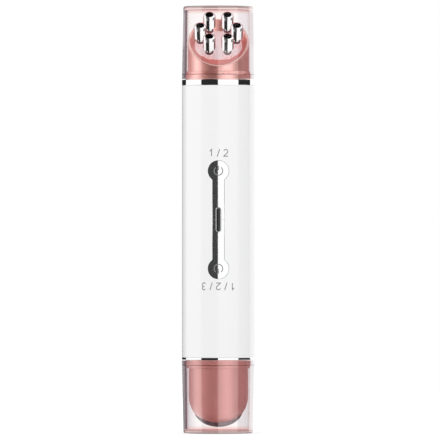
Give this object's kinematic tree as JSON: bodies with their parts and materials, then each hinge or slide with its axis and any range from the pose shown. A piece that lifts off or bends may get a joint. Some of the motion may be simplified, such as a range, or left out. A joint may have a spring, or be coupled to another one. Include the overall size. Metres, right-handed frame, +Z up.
{
  "type": "heated eye massager wand",
  "caption": "Slim upright massager wand with a lit electrode head, a heated plate head, front keys and clear end caps.",
  "frame": {"origin": "centre of the lower cap's flat end, on the wand's long axis", "axes": "+Z up along the wand to the electrode head, -Y to the front where the keys are, +X to the right seen from the front"},
  "size_m": [0.028, 0.028, 0.164],
  "materials": {
    "body_white": "satin white lacquer",
    "trim_chrome": "mirror chrome plating",
    "key_chrome": "mirror chrome plating",
    "rose_gold": "vacuum-plated rose gold",
    "cap_clear": "clear pink tint, polished",
    "lens_frost": "translucent, lightly frosted",
    "electrode_chrome": "mirror chrome plating",
    "plate_steel": "polished steel",
    "window_dark": "dark light pipe",
    "inner_plastic": "as moulded",
    "board_green": "solder mask",
    "component_black": "moulded package",
    "led_yellow": "light package",
    "inner_steel": "plain steel",
    "nut_brass": "plain brass",
    "seal_rubber": "soft silicone",
    "film_amber": "polyimide film",
    "cell_wrap": "shrink wrap over a metal can",
    "lead_white": "flat cable"
  },
  "bodies": {
    "wand": {"body_tube": "body_white", "upper_trim_ring": "trim_chrome", "lower_trim_ring": "trim_chrome", "upper_head_shell": "rose_gold", "light_lens": "lens_frost", "electrode_nuts": "nut_brass", "led_board": "board_green", "light_leds": "led_yellow", "lower_head_shell": "rose_gold", "heat_plate": "plate_steel", "heat_plate_seal": "seal_rubber", "heater_film": "film_amber", "thermistor": "component_black", "motor_holder": "inner_plastic", "vibration_motor": "inner_steel", "key_frame": "inner_plastic", "indicator_window": "window_dark", "indicator_led": "led_yellow", "main_board": "board_green", "board_screws": "inner_steel", "board_parts": "component_black", "upper_switch": "component_black", "lower_switch": "component_black", "inner_sled": "inner_plastic", "battery": "cell_wrap", "battery_pad": "seal_rubber", "usb_socket": "inner_steel", "usb_board": "board_green", "upper_lead": "lead_white", "lower_lead": "lead_white", "electrode_1": "electrode_chrome", "electrode_2": "electrode_chrome", "electrode_3": "electrode_chrome", "electrode_4": "electrode_chrome", "electrode_5": "electrode_chrome", "electrode_6": "electrode_chrome"},
    "upper_key": {"upper_key": "key_chrome", "upper_switch_plunger": "inner_plastic"},
    "lower_key": {"lower_key": "key_chrome", "lower_switch_plunger": "inner_plastic"},
    "motor_rotor": {"motor_shaft": "inner_steel", "eccentric_weight": "nut_brass"},
    "upper_cap": {"upper_cap": "cap_clear"},
    "lower_cap": {"lower_cap": "cap_clear"}
  },
  "joints": [
    {"name": "upper_cap_slide", "type": "slide", "parent": "wand", "child": "upper_cap", "axis": [0, 0, 1], "range_m": [0, 0.03]},
    {"name": "lower_cap_slide", "type": "slide", "parent": "wand", "child": "lower_cap", "axis": [0, 0, -1], "range_m": [0, 0.03]},
    {"name": "upper_key_press", "type": "hinge", "parent": "wand", "child": "upper_key", "pos_m": [0, -0.0114, 0.0834], "axis": [-1, 0, 0], "range_deg": [0, 1.2], "stiffness_Nm_per_rad": 1.2},
    {"name": "lower_key_press", "type": "hinge", "parent": "wand", "child": "lower_key", "pos_m": [0, -0.0114, 0.0806], "axis": [1, 0, 0], "range_deg": [0, 1.2], "stiffness_Nm_per_rad": 1.2},
    {"name": "motor_spin", "type": "hinge", "parent": "wand", "child": "motor_rotor", "pos_m": [0, -0.003, 0.025], "axis": [0, 0, 1], "continuous": true}
  ]
}
